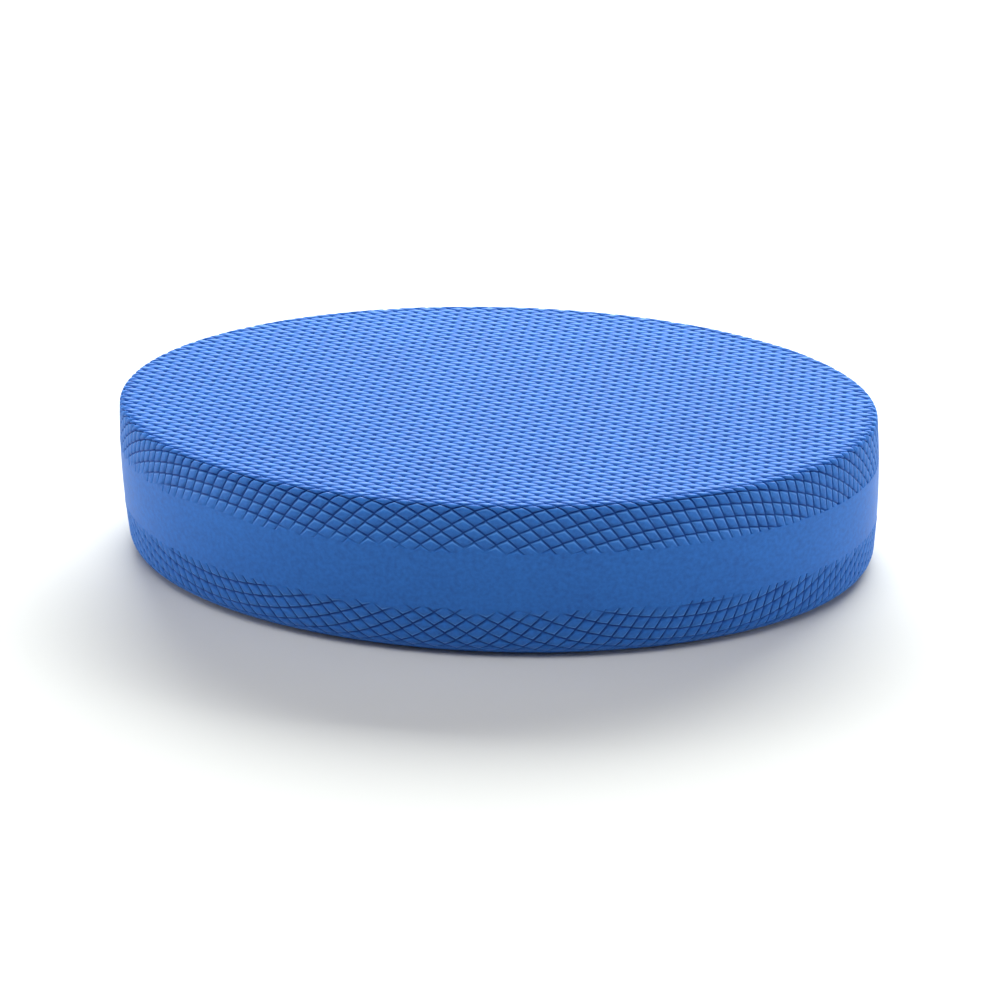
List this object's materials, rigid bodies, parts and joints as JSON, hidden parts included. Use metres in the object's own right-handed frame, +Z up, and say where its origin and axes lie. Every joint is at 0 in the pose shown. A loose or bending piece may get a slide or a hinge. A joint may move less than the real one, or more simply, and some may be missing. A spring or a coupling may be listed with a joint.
{
  "type": "balance pad",
  "caption": "Oval foam pad with a flat embossed top and base and a plain band round its wall, stood on to train balance.",
  "frame": {"origin": "on the floor under the middle of the pad", "axes": "+X along the oval, +Y across it, +Z up out of the standing face"},
  "size_m": [0.28, 0.17, 0.06],
  "materials": {
    "embossed_skin": "matte, embossed with staggered diamonds",
    "plain_skin": "matte, smooth",
    "foam_core": "matte, closed cells"
  },
  "bodies": {
    "root": {"foam_core": "foam_core", "top_skin": "embossed_skin", "side_band": "plain_skin", "bottom_skin": "embossed_skin"}
  },
  "joints": []
}
